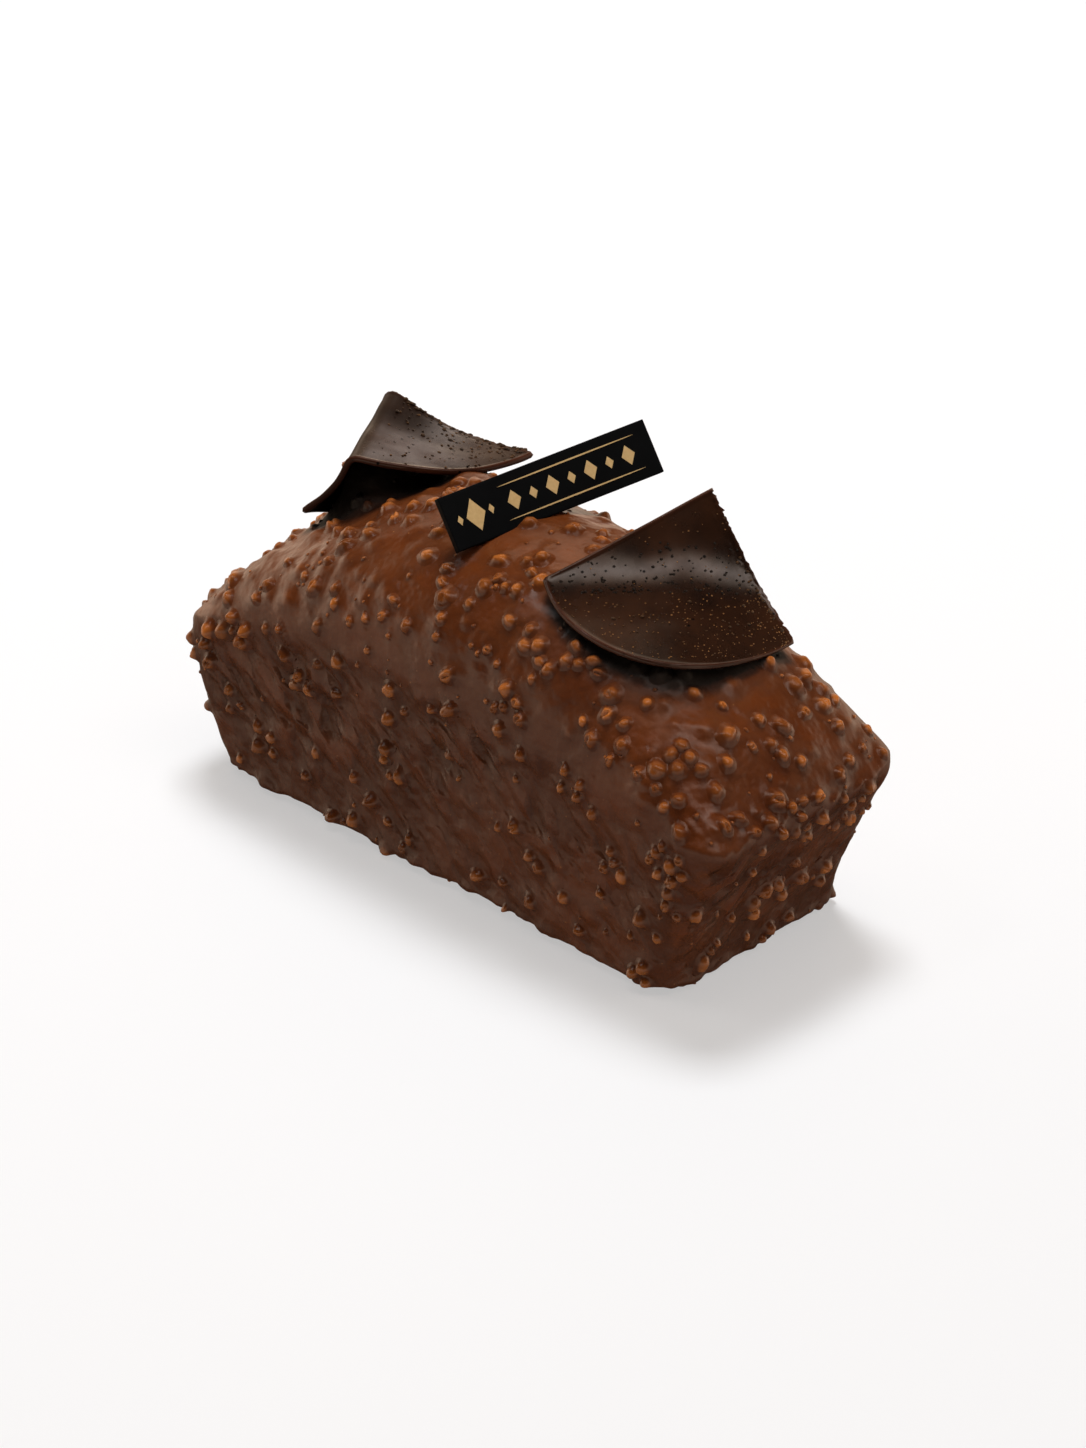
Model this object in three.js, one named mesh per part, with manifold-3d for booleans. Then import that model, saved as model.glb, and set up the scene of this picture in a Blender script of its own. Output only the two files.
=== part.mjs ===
// Marble loaf cake under a milk chocolate glaze: the glazed loaf, a thin dark chocolate plaque that
// stands across its crown, and two curved dark chocolate shards, one lying at the back and one that
// leans over the near end. Millimetres, +Z up, origin at the centre of the flat base, X along the loaf.
import * as THREE from 'three';
import { LoftGeometry } from 'three/addons/geometries/LoftGeometry.js';
import { mergeVertices } from 'three/addons/utils/BufferGeometryUtils.js';
import Module from 'manifold-3d';

// Loaf: a tin-baked block that widens upwards and carries a domed crown.
const BASE_LENGTH = 192;
const BASE_WIDTH = 80;
const SPLAY_BACK_END = 18;      // how far the rim overhangs the base at the -X end
const SPLAY_NEAR_END = 20.5;    // and at the +X end
const SPLAY_SIDES = 3;
const CORNER_BASE = 8;
const CORNER_RIM = 10;
const RIM_PEAK = 69.5;          // height of the rim, where wall turns into crown, at its highest
const RIM_PEAK_X = -18;
const RIM_BACK_END = 47;
const RIM_NEAR_END = 56;
const CROWN_PEAK = 110;         // height of the crown, at its highest
const CROWN_PEAK_X = -2;
const CROWN_BACK_END = 58;
const CROWN_NEAR_END = 64;
const CROWN_LEAN = 2;           // the far half of the crown is this much fuller than the near half
const MOUNDS = [                // glaze and nuts heaped on the crown, which hold the back shard
  { x: -75, y: 10, height: 15.5, length: 19, width: 20 },
  { x: -48, y: 23, height: 4.5, length: 17, width: 14 },
];

// Plaque: a flat bar, long edge across the loaf, leaning back on the crown.
const PLAQUE = { length: 75.5, height: 17.5, thickness: 2.6 };
const PLAQUE_CORNER = new THREE.Vector3(-6.4, -23.6, 107.8);   // lower near corner of the front face
const PLAQUE_ALONG = new THREE.Vector3(0.202, 0.977, 0.071);
const PLAQUE_UP = new THREE.Vector3(-0.602, 0.064, 0.796);

// Shards: a quarter of a thin chocolate disc, bent while soft.
const SHARD_THICKNESS = 1.6;
const CLEARANCE = 0.35;         // between a piece and the slot that it stands in

const rad = THREE.MathUtils.degToRad;
const { smoothstep, lerp } = THREE.MathUtils;

const wasm = await Module();
wasm.setup();

// A lofted surface reduced to its shared points and faces.
function plain(loft) {
  const bare = new THREE.BufferGeometry().copy(loft);
  bare.deleteAttribute('normal');
  bare.deleteAttribute('uv');
  return mergeVertices(bare, 1e-4);
}

// A closed mesh as a solid for cutting, and a solid as a mesh's geometry.
function solid(geometry) {
  const merged = plain(geometry);
  return new wasm.Manifold(new wasm.Mesh({
    numProp: 3,
    vertProperties: merged.attributes.position.array,
    triVerts: new Uint32Array(merged.index.array),
  }));
}

function geometryOf(manifold) {
  const mesh = manifold.getMesh();
  const geometry = new THREE.BufferGeometry();
  geometry.setAttribute('position', new THREE.BufferAttribute(mesh.vertProperties, 3));
  geometry.setIndex(new THREE.BufferAttribute(mesh.triVerts, 1));
  return geometry;
}

// Loaf ---------------------------------------------------------------------------------------------

const RIM_BACK_X = -BASE_LENGTH / 2 - SPLAY_BACK_END;
const RIM_NEAR_X = BASE_LENGTH / 2 + SPLAY_NEAR_END;
const RIM_HALF_WIDTH = BASE_WIDTH / 2 + SPLAY_SIDES;

// A height along the loaf that is highest at peakX and falls to a lower height at each end.
function arch(x, peak, peakX, backEnd, nearEnd, backPower, nearPower) {
  const back = x < peakX;
  const reach = Math.min(Math.abs(x - peakX) / Math.abs((back ? RIM_BACK_X : RIM_NEAR_X) - peakX), 1);
  const end = back ? backEnd : nearEnd;
  return end + (peak - end) * (1 - reach ** (back ? backPower : nearPower));
}

const rimHeight = (x) => arch(x, RIM_PEAK, RIM_PEAK_X, RIM_BACK_END, RIM_NEAR_END, 1.9, 1.9);

function crownHeight(x, y) {
  const ridge = arch(x, CROWN_PEAK, CROWN_PEAK_X, CROWN_BACK_END, CROWN_NEAR_END, 2, 2.8);
  const rim = rimHeight(x);
  const along = Math.abs(x - (RIM_BACK_X + RIM_NEAR_X) / 2) / ((RIM_NEAR_X - RIM_BACK_X) / 2);
  const across = y / RIM_HALF_WIDTH;
  const ends = Math.sqrt(Math.max(1 - along ** 18, 0));
  const sides = Math.sqrt(Math.max(1 - Math.abs(across) ** 2.5, 0));
  const lean = CROWN_LEAN * across * ends * (1 - along ** 2);
  const heaped = MOUNDS.map((mound) => {
    const away = Math.hypot((x - mound.x) / mound.length, (y - mound.y) / mound.width);
    return mound.height * Math.max(1 - away ** 2, 0) ** 1.5;
  });
  return rim + (ridge - rim) * sides * ends + lean + heaped[0] + heaped[1];
}

// One level of the wall, t = 0 at the base and 1 at the rim: a rectangle with rounded corners,
// counterclockwise. The back end bulges low down and the near end flares near the rim.
function wallOutline(t) {
  const back = -BASE_LENGTH / 2 - SPLAY_BACK_END * t ** 0.5;
  const near = BASE_LENGTH / 2 + SPLAY_NEAR_END * t ** 1.4;
  const half = BASE_WIDTH / 2 + SPLAY_SIDES * t;
  const radius = lerp(CORNER_BASE, CORNER_RIM, t);
  const shape = new THREE.Shape();
  shape.absarc(near - radius, half - radius, radius, 0, rad(90));
  shape.absarc(back + radius, half - radius, radius, rad(90), rad(180));
  shape.absarc(back + radius, radius - half, radius, rad(180), rad(270));
  shape.absarc(near - radius, radius - half, radius, rad(270), rad(360));
  const cornerSteps = 4;
  const sideSteps = [26, 8, 26, 8];
  const corners = shape.curves.filter((curve) => curve.isEllipseCurve);
  return corners.flatMap((corner, i) => {
    const points = corner.getPoints(cornerSteps);
    const next = corners[(i + 1) % 4].getPoint(0);
    const last = points.at(-1);
    for (let k = 1; k < sideSteps[i]; k++) points.push(last.clone().lerp(next, k / sideSteps[i]));
    return points;
  });
}

function loafGeometry() {
  const wallLevels = 7;
  const crownLevels = 15;
  const levels = [];
  for (let k = 0; k <= wallLevels; k++) {
    const t = k / wallLevels;
    levels.push(wallOutline(t).map((p) => new THREE.Vector3(p.x, p.y, rimHeight(p.x) * t)));
  }
  const rim = wallOutline(1);
  const centre = new THREE.Vector2((RIM_BACK_X + RIM_NEAR_X) / 2, 0);
  for (let k = 1; k < crownLevels; k++) {
    const inward = (k / crownLevels) ** 1.8;
    levels.push(rim.map((p) => {
      const q = p.clone().lerp(centre, inward);
      return new THREE.Vector3(q.x, q.y, crownHeight(q.x, q.y));
    }));
  }
  return plain(new LoftGeometry(levels, { capStart: true, capEnd: true }));
}

// Shards -------------------------------------------------------------------------------------------

// A sheet of even thickness, grown by a margin all round. Across the sheet, station s runs from start
// to end; at each station the sheet spans from edges(s)[0] to edges(s)[1], and place(g, s) is the
// middle of its thickness.
function sheetGeometry({ start, end, edges, place }, grow) {
  const stations = 26;
  const spans = 18;
  const step = 0.05;
  const skin = (g, s, side) => {
    const along = place(g + step, s).sub(place(g - step, s));
    const across = place(g, s + step).sub(place(g, s - step));
    const normal = along.cross(across).normalize();
    return place(g, s).addScaledVector(normal, side * (SHARD_THICKNESS / 2 + grow));
  };
  const sections = [];
  for (let k = 0; k <= stations; k++) {
    const s = lerp(start - grow, end + grow, (1 - Math.cos(Math.PI * k / stations)) / 2);
    const [from, to] = edges(s);
    const reach = Array.from({ length: spans + 1 }, (_, i) => lerp(from - grow, to + grow, i / spans));
    const upper = reach.map((g) => skin(g, s, 1));
    const lower = reach.map((g) => skin(g, s, -1)).reverse();
    sections.push([...upper, ...lower]);
  }
  return plain(new LoftGeometry(sections, { capStart: true, capEnd: true }));
}

// The width of a disc of radius r centred at (g0, s0), at station s.
function discEdges(s, r, g0, s0) {
  const half = Math.sqrt(Math.max(r ** 2 - (s - s0) ** 2, 0));
  return [g0 - half, g0 + half];
}

// Front shard: a scoop. Its apex is the highest point, the upper part leans away at 45 degrees and
// the lower part runs out almost flat over the near end. g is level, s runs down the scoop. The side
// with the rough edge sags back and down, so that its lower corner lies close to the crown.
const FRONT = {
  apex: new THREE.Vector3(47.5, 30.6, 129.8),
  level: new THREE.Vector3(0.711, 0.703, 0),
  outward: new THREE.Vector3(0.703, -0.711, 0),
  steep: rad(45),
  shallow: rad(14),
  bendFrom: 12,
  bendTo: 50,
  smoothEdge: -1.75,     // slopes of the two straight edges, g per s
  roughEdge: 0.453,
  discRadius: 46.5,
  discG: -6,
  discS: 19.1,
  sagLine: new THREE.Vector3(-0.605, 0.613, -0.508),
  sagDepth: 20,
  sagFrom: -14,
  sagReach: 36,
  sagAt: 57,             // the station where the sag is as deep as sagDepth
};

function frontPlace(g, s) {
  const slices = 24;
  let out = 0;
  let down = 0;
  for (let k = 0; k < slices; k++) {
    const t = s * (k + 0.5) / slices;
    const slope = lerp(FRONT.steep, FRONT.shallow, smoothstep(t, FRONT.bendFrom, FRONT.bendTo));
    out += Math.cos(slope) * s / slices;
    down += Math.sin(slope) * s / slices;
  }
  const sagging = (Math.max(g - FRONT.sagFrom, 0) / FRONT.sagReach) ** 1.5 * s / FRONT.sagAt;
  return FRONT.apex.clone()
    .addScaledVector(FRONT.level, g)
    .addScaledVector(FRONT.outward, out)
    .addScaledVector(FRONT.sagLine, FRONT.sagDepth * sagging)
    .add(new THREE.Vector3(0, 0, -down));
}

const frontShard = {
  start: 0.6,
  end: FRONT.discS + FRONT.discRadius - 0.05,
  edges: (s) => {
    const [left, right] = discEdges(s, FRONT.discRadius, FRONT.discG, FRONT.discS);
    return [Math.max(FRONT.smoothEdge * s, left), Math.min(FRONT.roughEdge * s, right)];
  },
  place: frontPlace,
};

// Back shard: nearly level, a little dished, with one wing that folds down past a ridge and whose
// tip turns outwards again. g runs along the ridge from the apex, s across it.
const BACK = {
  apex: new THREE.Vector3(-104, 40.5, 104),
  ridge: new THREE.Vector3(0.561, -0.819, 0.115),
  across: new THREE.Vector3(0.826, 0.549, -0.126),
  up: new THREE.Vector3(0.041, 0.167, 0.985),
  roughEdge: 0.532,      // slopes of the two straight edges, g per s
  smoothEdge: -0.5,
  discRadius: 56,
  discG: 5,
  discS: 2.2,
  reach: 53,
  wing: 29,
  dishAtRoughEdge: 4.5,
  dishAtLip: 1,
  fold: rad(84),
  foldFrom: 4,
  foldWidth: 6,
  flare: 9,
  lift: 4.5,
};

function backPlace(g, s) {
  const point = BACK.apex.clone().addScaledVector(BACK.ridge, g);
  if (s >= BACK.foldFrom) {
    const part = (s - BACK.foldFrom) / (BACK.reach - BACK.foldFrom);
    const dish = lerp(BACK.dishAtRoughEdge, BACK.dishAtLip, g / BACK.discRadius) * Math.sin(Math.PI * part);
    return point.addScaledVector(BACK.across, s).addScaledVector(BACK.up, -dish);
  }
  const slices = 24;
  const folded = BACK.foldFrom - s;
  let out = 0;
  let down = 0;
  for (let k = 0; k < slices; k++) {
    const angle = BACK.fold * smoothstep(folded * (k + 0.5) / slices, 0, BACK.foldWidth);
    out += Math.cos(angle) * folded / slices;
    down += Math.sin(angle) * folded / slices;
  }
  const tip = smoothstep(g, 30, 56) * (folded / BACK.wing) ** 2;
  return point
    .addScaledVector(BACK.across, BACK.foldFrom - out - BACK.flare * tip)
    .addScaledVector(BACK.up, BACK.lift * tip - down);
}

const backShard = {
  start: -BACK.wing,
  end: BACK.reach,
  edges: (s) => {
    const straight = (s < 0 ? BACK.smoothEdge : BACK.roughEdge) * s;
    const outer = discEdges(s, BACK.discRadius, BACK.discG, BACK.discS)[1];
    return [Math.min(straight, outer - 0.5), outer];
  },
  place: backPlace,
};

// Plaque -------------------------------------------------------------------------------------------

function plaqueGeometry(grow) {
  const geometry = new THREE.BoxGeometry(
    PLAQUE.length + 2 * grow, PLAQUE.height + 2 * grow, PLAQUE.thickness + 2 * grow);
  geometry.translate(PLAQUE.length / 2, PLAQUE.height / 2, -PLAQUE.thickness / 2);
  const along = PLAQUE_ALONG.clone().normalize();
  const front = along.clone().cross(PLAQUE_UP).normalize();
  const up = front.clone().cross(along);
  const frame = new THREE.Matrix4().makeBasis(along, up, front).setPosition(PLAQUE_CORNER);
  return geometry.applyMatrix4(frame);
}

// The whole cake -----------------------------------------------------------------------------------

const looks = {
  glaze: new THREE.MeshStandardMaterial({ color: 0x5a2f1a, roughness: 0.35, metalness: 0 }),
  plaque: new THREE.MeshStandardMaterial({ color: 0x17171a, roughness: 0.45, metalness: 0 }),
  shard: new THREE.MeshStandardMaterial({ color: 0x2a1510, roughness: 0.35, metalness: 0 }),
};

const slots = [
  plaqueGeometry(CLEARANCE),
  sheetGeometry(frontShard, CLEARANCE),
  sheetGeometry(backShard, CLEARANCE),
];
const loaf = slots.reduce((body, slot) => body.subtract(solid(slot)), solid(loafGeometry()));

const pieces = [
  ['cake', geometryOf(loaf), looks.glaze],
  ['plaque', plaqueGeometry(0), looks.plaque],
  ['shard_front', sheetGeometry(frontShard, 0), looks.shard],
  ['shard_back', sheetGeometry(backShard, 0), looks.shard],
];

const group = new THREE.Group();
for (const [name, geometry, material] of pieces) {
  const mesh = new THREE.Mesh(geometry, material);
  mesh.name = name;
  group.add(mesh);
}

export default group;
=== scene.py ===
# Marble loaf cake under a milk chocolate glaze full of chopped nuts, with two curved dark chocolate
# shards and a slim dark plaque across the crown. Metres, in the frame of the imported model.
import math
import random

import bmesh
import bpy
import numpy as np
from mathutils import Matrix, Vector, noise
from mathutils.bvhtree import BVHTree
from mathutils.kdtree import KDTree


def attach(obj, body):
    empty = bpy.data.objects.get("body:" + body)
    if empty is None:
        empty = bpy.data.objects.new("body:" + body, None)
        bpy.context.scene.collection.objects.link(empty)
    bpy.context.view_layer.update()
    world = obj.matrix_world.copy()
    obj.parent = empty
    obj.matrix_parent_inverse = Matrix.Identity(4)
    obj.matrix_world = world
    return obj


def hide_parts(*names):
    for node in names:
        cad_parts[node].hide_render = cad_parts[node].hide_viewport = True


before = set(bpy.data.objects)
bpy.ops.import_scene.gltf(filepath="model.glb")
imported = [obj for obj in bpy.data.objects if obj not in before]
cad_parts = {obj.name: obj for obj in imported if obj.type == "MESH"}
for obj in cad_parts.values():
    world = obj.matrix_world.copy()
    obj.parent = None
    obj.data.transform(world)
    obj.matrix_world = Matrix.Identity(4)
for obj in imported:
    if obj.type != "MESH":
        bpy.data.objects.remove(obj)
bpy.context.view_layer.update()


# Glaze --------------------------------------------------------------------------------------------
# Milk chocolate glaze, about 2 mm thick, poured over the whole loaf and left to run down its walls.
# It follows the loaf's domed crown, ripples where it ran, rises in a collar round every nut and
# sets in a ragged foot. It is one closed skin, so it stands for the cake. Sizes here are millimetres.
MM = 0.001
BASE_BACK, BASE_NEAR, BASE_HALF, BASE_CORNER = -96.0, 96.0, 40.0, 8.0
RIM_BACK, RIM_NEAR, RIM_HALF, RIM_CORNER = -114.0, 116.5, 43.0, 10.0
MOUNDS = [(-75, 10, 15.5, 19, 20), (-48, 23, 4.5, 17, 14)]      # x, y, height, half length, half width
CORNER_STEPS = 12
LONG_STEPS, SHORT_STEPS = 208, 66
WALL_ROWS, CROWN_ROWS, FLOOR_ROWS = 64, 58, 6
SPINE_BACK, SPINE_NEAR = -74.0, 76.0        # the crown's rows close on this stretch of centre line
SHOULDER_PASSES = 14                        # how often the shoulder is softened
RUN_LENGTH, RUN_WIDTH = 11.0, 3.2           # half a ripple's length and width
RUN_SLANT = Vector((0.66, 0.66, -0.75))     # ripples lean this way as they run down
RIPPLE_DEPTH = 1.9


def arch(x, peak, peak_x, back_end, near_end, back_power, near_power):
    """A height along the loaf, highest at peak_x and lower at each end."""
    back = x < peak_x
    reach = np.abs(x - peak_x) / np.abs(np.where(back, RIM_BACK, RIM_NEAR) - peak_x)
    fall = np.minimum(reach, 1) ** np.where(back, back_power, near_power)
    return peak + (np.where(back, back_end, near_end) - peak) * fall


def rim_height(x):
    return arch(x, peak=69.5, peak_x=-18, back_end=47, near_end=56, back_power=1.9, near_power=1.9)


def crown_height(x, y):
    """A dome that meets the rim all round, a little fuller on its far half, with two mounds on it."""
    ridge = arch(x, peak=110, peak_x=-2, back_end=58, near_end=64, back_power=2, near_power=2.8)
    rim = rim_height(x)
    along = np.abs(x - (RIM_BACK + RIM_NEAR) / 2) / ((RIM_NEAR - RIM_BACK) / 2)
    across = y / RIM_HALF
    ends = np.sqrt(np.maximum(1 - along ** 18, 0))
    sides = np.sqrt(np.maximum(1 - np.abs(across) ** 2.5, 0))
    lean = 2 * across * ends * (1 - along ** 2)
    heap = 0
    for mound_x, mound_y, tall, long, wide in MOUNDS:
        heap += tall * np.maximum(1 - ((x - mound_x) / long) ** 2 - ((y - mound_y) / wide) ** 2, 0) ** 1.5
    return rim + (ridge - rim) * sides * ends + lean + heap


def wall_loop(level):
    """The wall's outline at a level from 0, the base, to 1, the rim, counterclockwise."""
    back = BASE_BACK + (RIM_BACK - BASE_BACK) * level ** 0.5
    near = BASE_NEAR + (RIM_NEAR - BASE_NEAR) * level ** 1.4
    half = BASE_HALF + (RIM_HALF - BASE_HALF) * level
    radius = BASE_CORNER + (RIM_CORNER - BASE_CORNER) * level
    centres = [(near - radius, half - radius), (back + radius, half - radius),
               (back + radius, radius - half), (near - radius, radius - half)]
    turn = np.radians(np.linspace(0, 90, CORNER_STEPS + 1))
    arcs = []
    for k, centre in enumerate(centres):
        angle = turn + k * math.pi / 2
        arcs.append(np.array(centre) + radius * np.column_stack([np.cos(angle), np.sin(angle)]))
    loop = []
    for k, arc in enumerate(arcs):
        steps = (LONG_STEPS, SHORT_STEPS)[k % 2]
        share = np.arange(1, steps)[:, None] / steps
        loop += [arc, arc[-1] + (arcs[(k + 1) % 4][0] - arc[-1]) * share]
    return np.vstack(loop)


def smooth(value, low, high):
    """0 below low, 1 above high, and an even change between."""
    t = np.clip((value - low) / (high - low), 0, 1)
    return t * t * (3 - 2 * t)


def wander(points, size, seed=0.0):
    """Smooth noise of about -0.6 to 0.6 at each point, with bumps about 2 * size apart."""
    size = np.broadcast_to(np.asarray(size, float), (3,))
    return np.array([noise.noise(Vector(p)) for p in points / size + seed])


def mesh_object(name, points, faces, marks=None):
    """A smooth-shaded object from points in millimetres, with a value at each point for each mark."""
    mesh = bpy.data.meshes.new(name)
    mesh.from_pydata((np.asarray(points) * MM).tolist(), [], faces)
    mesh.shade_smooth()
    for mark, values in (marks or {}).items():
        layer = mesh.attributes.new(mark, "FLOAT", "POINT")
        layer.data.foreach_set("value", np.asarray(values, np.float32))
    made = bpy.data.objects.new(name, mesh)
    bpy.context.scene.collection.objects.link(made)
    return made


def vertex_normals(points, faces):
    """The way the surface faces at each point; a triangle counts as a quad with two corners alike."""
    quads = np.array([f if len(f) == 4 else (*f, f[-1]) for f in faces])
    a, b, c, d = (points[quads[:, k]] for k in range(4))
    face = np.cross(c - a, d - b)
    total = np.zeros_like(points)
    for k in range(4):
        np.add.at(total, quads[:, k], face)
    return total / np.maximum(np.linalg.norm(total, axis=1), 1e-9)[:, None]


levels = []
for level in np.linspace(0, 1, WALL_ROWS + 1):
    loop = wall_loop(level)
    levels.append(np.column_stack([loop, rim_height(loop[:, 0]) * level]))
columns = len(levels[0])
base_loop, rim_loop = levels[0], levels[-1]


def towards_spine(loop, share):
    """A loop drawn in by this share of its way to the stretch of centre line."""
    flat = loop[:, :2]
    spine = np.column_stack([np.clip(flat[:, 0], SPINE_BACK, SPINE_NEAR), np.zeros(len(flat))])
    return flat + (spine - flat) * share


for k in range(1, CROWN_ROWS + 1):
    flat = towards_spine(rim_loop, (k / CROWN_ROWS) ** 1.5)
    levels.append(np.column_stack([flat, crown_height(flat[:, 0], flat[:, 1])]))
for k in range(1, FLOOR_ROWS + 1):
    flat = towards_spine(base_loop, k / FLOOR_ROWS)
    levels.insert(0, np.column_stack([flat, np.zeros(columns)]))

grid = bmesh.new()
ring = [[grid.verts.new(p) for p in level] for level in levels]
for low, high in zip(ring, ring[1:]):
    for k in range(columns):
        after = (k + 1) % columns
        grid.faces.new((low[k], low[after], high[after], high[k]))
bmesh.ops.remove_doubles(grid, verts=ring[0] + ring[-1], dist=0.02)
bmesh.ops.dissolve_degenerate(grid, edges=grid.edges[:], dist=0.005)
grid.verts.index_update()
skin_points = np.array([v.co for v in grid.verts])
skin_faces = [tuple(v.index for v in f.verts) for f in grid.faces]
skin_edges = np.array([[v.index for v in e.verts] for e in grid.edges])
grid.free()

# The shoulder, where wall meets crown, is soft: every point moves towards the middle of its
# neighbours a few times over.
joins = np.bincount(skin_edges.ravel(), minlength=len(skin_points))[:, None]
for _ in range(SHOULDER_PASSES):
    total = np.zeros_like(skin_points)
    np.add.at(total, skin_edges[:, 0], skin_points[skin_edges[:, 1]])
    np.add.at(total, skin_edges[:, 1], skin_points[skin_edges[:, 0]])
    skin_points += 0.5 * (total / joins - skin_points)
skin_points[:, 2] = np.maximum(skin_points[:, 2], 0)
skin_normals = vertex_normals(skin_points, skin_faces)
bare_skin = BVHTree.FromPolygons(skin_points.tolist(), skin_faces)

# Chopped nuts: where the thickest groups lie on each face, how many nuts each has and how far they
# spread, then the loose ones strewn between them. Some are drowned: they only lift the glaze.
GROUPS_ON_TOP = [     # x, y, nuts, spread
    (13, -20, 7, 11), (-8, -34, 5, 8), (33, -38, 7, 9), (46, -32, 3, 5), (-56, -34, 6, 13),
    (-50, -12, 5, 11), (-28, -12, 4, 12), (-33, 11, 6, 11), (68, -35, 4, 6), (86, -37, 2, 4),
    (101, -28, 3, 7), (93, -12, 4, 12), (102, 4, 3, 9), (88, 22, 4, 11), (102, 27, 4, 8),
    (108, -2, 3, 15), (94, -30, 3, 5), (54, -27, 3, 5), (22, 8, 3, 6), (-98, -31, 3, 6),
    (-12, 18, 5, 13)]
GROUPS_ON_LONG_SIDE = [     # x, z, nuts, spread
    (-90, 57, 7, 11), (-103, 42, 4, 7), (-62, 51, 4, 9), (-45, 58, 3, 9), (-92, 33, 1, 1),
    (-75, 21, 4, 6), (-16, 60, 3, 7), (-22, 40, 2, 4), (-16, 32, 2, 4), (-35, 16, 3, 9),
    (6, 71, 3, 8), (33, 69, 4, 9), (28, 34, 1, 1), (43, 27, 2, 3), (66, 59, 3, 6), (76, 39, 4, 7),
    (57, 20, 1, 1), (88, 27, 2, 3), (102, 36, 4, 6), (99, 51, 11, 7), (88, 5, 3, 5), (-15, 5, 4, 12)]
GROUPS_ON_NEAR_END = [     # y, z, nuts, spread
    (-22, 59, 4, 7), (-6, 60, 5, 8), (24, 60, 4, 9), (4, 50, 3, 5), (22, 44, 2, 4), (8, 29, 3, 7),
    (-4, 23, 3, 5), (26, 20, 2, 4), (-22, 10, 3, 6), (6, 5, 6, 18)]
NUTS, CRUMBS, DROWNED = 375, 270, 240
CRUMB_WIDTH = 2.1                                   # the widest crumb; what is wider is a nut
UPRIGHT = 0.5                                       # walls face up or down by less than this
DENSITY = {"top": 1.15, "side": 0.36, "foot": 0.9}  # how thickly nuts are strewn, one against another
FRONT_TOUCH, FRONT_ROOM = Vector((53, -7)), 18      # the front shard all but rests here
WING_FOOT, WING_ROOM = Vector((-92, 12)), 5         # the back shard's wing stands here
LOWEST_NUT = 1.2
HEAPS = [(-64, 21, 6.5, 5.0), (-80, 5, 5.0, 5.0)]   # x, y, reach, rise, under the back shard

rng = random.Random(11)
nuts = []           # (place, outward, width, height, split)
drowned = []        # (place, width)


def nearest_nut(place):
    """How far the rim of the nearest nut is, or far off while there is none."""
    return min(((place - spot).length - width / 2 for spot, _, width, _, _ in nuts), default=99.0)


def on_wall(outward):
    return abs(outward.z) < UPRIGHT


def set_nut(place, outward, width):
    """Nuts stand prouder on the walls, and are wider on the crown. About one in four is split."""
    share = rng.uniform(0.3, 0.46) + (0.12 if on_wall(outward) else 0)
    if width > CRUMB_WIDTH and not on_wall(outward):
        width *= 1.22
    nuts.append((place, outward, width, share * width, rng.random() < 0.24))


def under_shard(place):
    return (place.xy - FRONT_TOUCH).length < FRONT_ROOM


def set_group(first, second, count, spread, cast):
    """Nuts of one group, anywhere within its spread where no other nut is too near."""
    placed = 0
    for _ in range(40 * count):
        turn, out = rng.uniform(0, 2 * math.pi), spread * math.sqrt(rng.random())
        place, outward, _, _ = cast(first + out * math.cos(turn), second + out * math.sin(turn))
        width = rng.choice((3.2, 3.6, 4.0, 4.4, 4.8, 5.2))
        if place is not None and nearest_nut(place) > 0.5 * width and not under_shard(place):
            set_nut(place, outward, width)
            placed += 1
        if placed == count:
            break


for group in GROUPS_ON_TOP:
    set_group(*group, lambda x, y: bare_skin.ray_cast(Vector((x, y, 200)), Vector((0, 0, -1))))
for group in GROUPS_ON_LONG_SIDE:
    set_group(*group, lambda x, z: bare_skin.ray_cast(Vector((x, -200, z)), Vector((0, 1, 0))))
for group in GROUPS_ON_NEAR_END:
    set_group(*group, lambda y, z: bare_skin.ray_cast(Vector((300, y, z)), Vector((-1, 0, 0))))

face_points = np.array([skin_points[list(f)[:3]] for f in skin_faces])
sides = np.cross(face_points[:, 1] - face_points[:, 0], face_points[:, 2] - face_points[:, 0])
face_area = np.linalg.norm(sides, axis=1)
face_up = sides[:, 2] / np.maximum(face_area, 1e-9)
face_height = face_points[:, 0, 2]
appeal = np.where(face_up > 0.35, DENSITY["top"], DENSITY["side"])
appeal = np.where(face_height < 5, DENSITY["foot"], appeal)
patches = wander(face_points[:, 0], 16, 3.7)
appeal = appeal * np.clip(0.9 + patches, 0.3, 1.6) * (face_height > LOWEST_NUT) * (face_up > -0.8)
weight = (face_area * appeal).cumsum()


def random_place():
    """A place on the coat, likelier where nuts are dense, and the way that the coat faces there."""
    while True:
        k = int(np.searchsorted(weight, rng.random() * weight[-1]))
        place = Vector(face_points[k].mean(axis=0))
        if not under_shard(place):
            return place, Vector(sides[k]).normalized()


tries = 0
while len(nuts) < NUTS and tries < 20000:
    tries += 1
    place, outward = random_place()
    width = rng.choice((2.6, 3.0, 3.2, 3.6, 4.0, 4.4))
    if nearest_nut(place) > width * rng.choice((0.55, 1.0, 1.5)):
        set_nut(place, outward, width)
while len(nuts) < NUTS + CRUMBS:
    place, outward = random_place()
    set_nut(place, outward, rng.uniform(0.9, 2.0))
while len(drowned) < DROWNED:
    place, outward = random_place()
    drowned.append((place, rng.uniform(3.0, 6.5)))
nuts = [nut for nut in nuts if (nut[0].xy - WING_FOOT).length > WING_ROOM and nut[0].z > LOWEST_NUT]

# The skin leaves its smooth form: slow unevenness, ripples on the walls, a collar round each nut.
outward_x, outward_y, outward_z = skin_normals.T
height = skin_points[:, 2]
rim_here = rim_height(skin_points[:, 0])
swell = wander(skin_points, 26, 1.3) + 0.35 * wander(skin_points, 9, 5.1)


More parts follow.
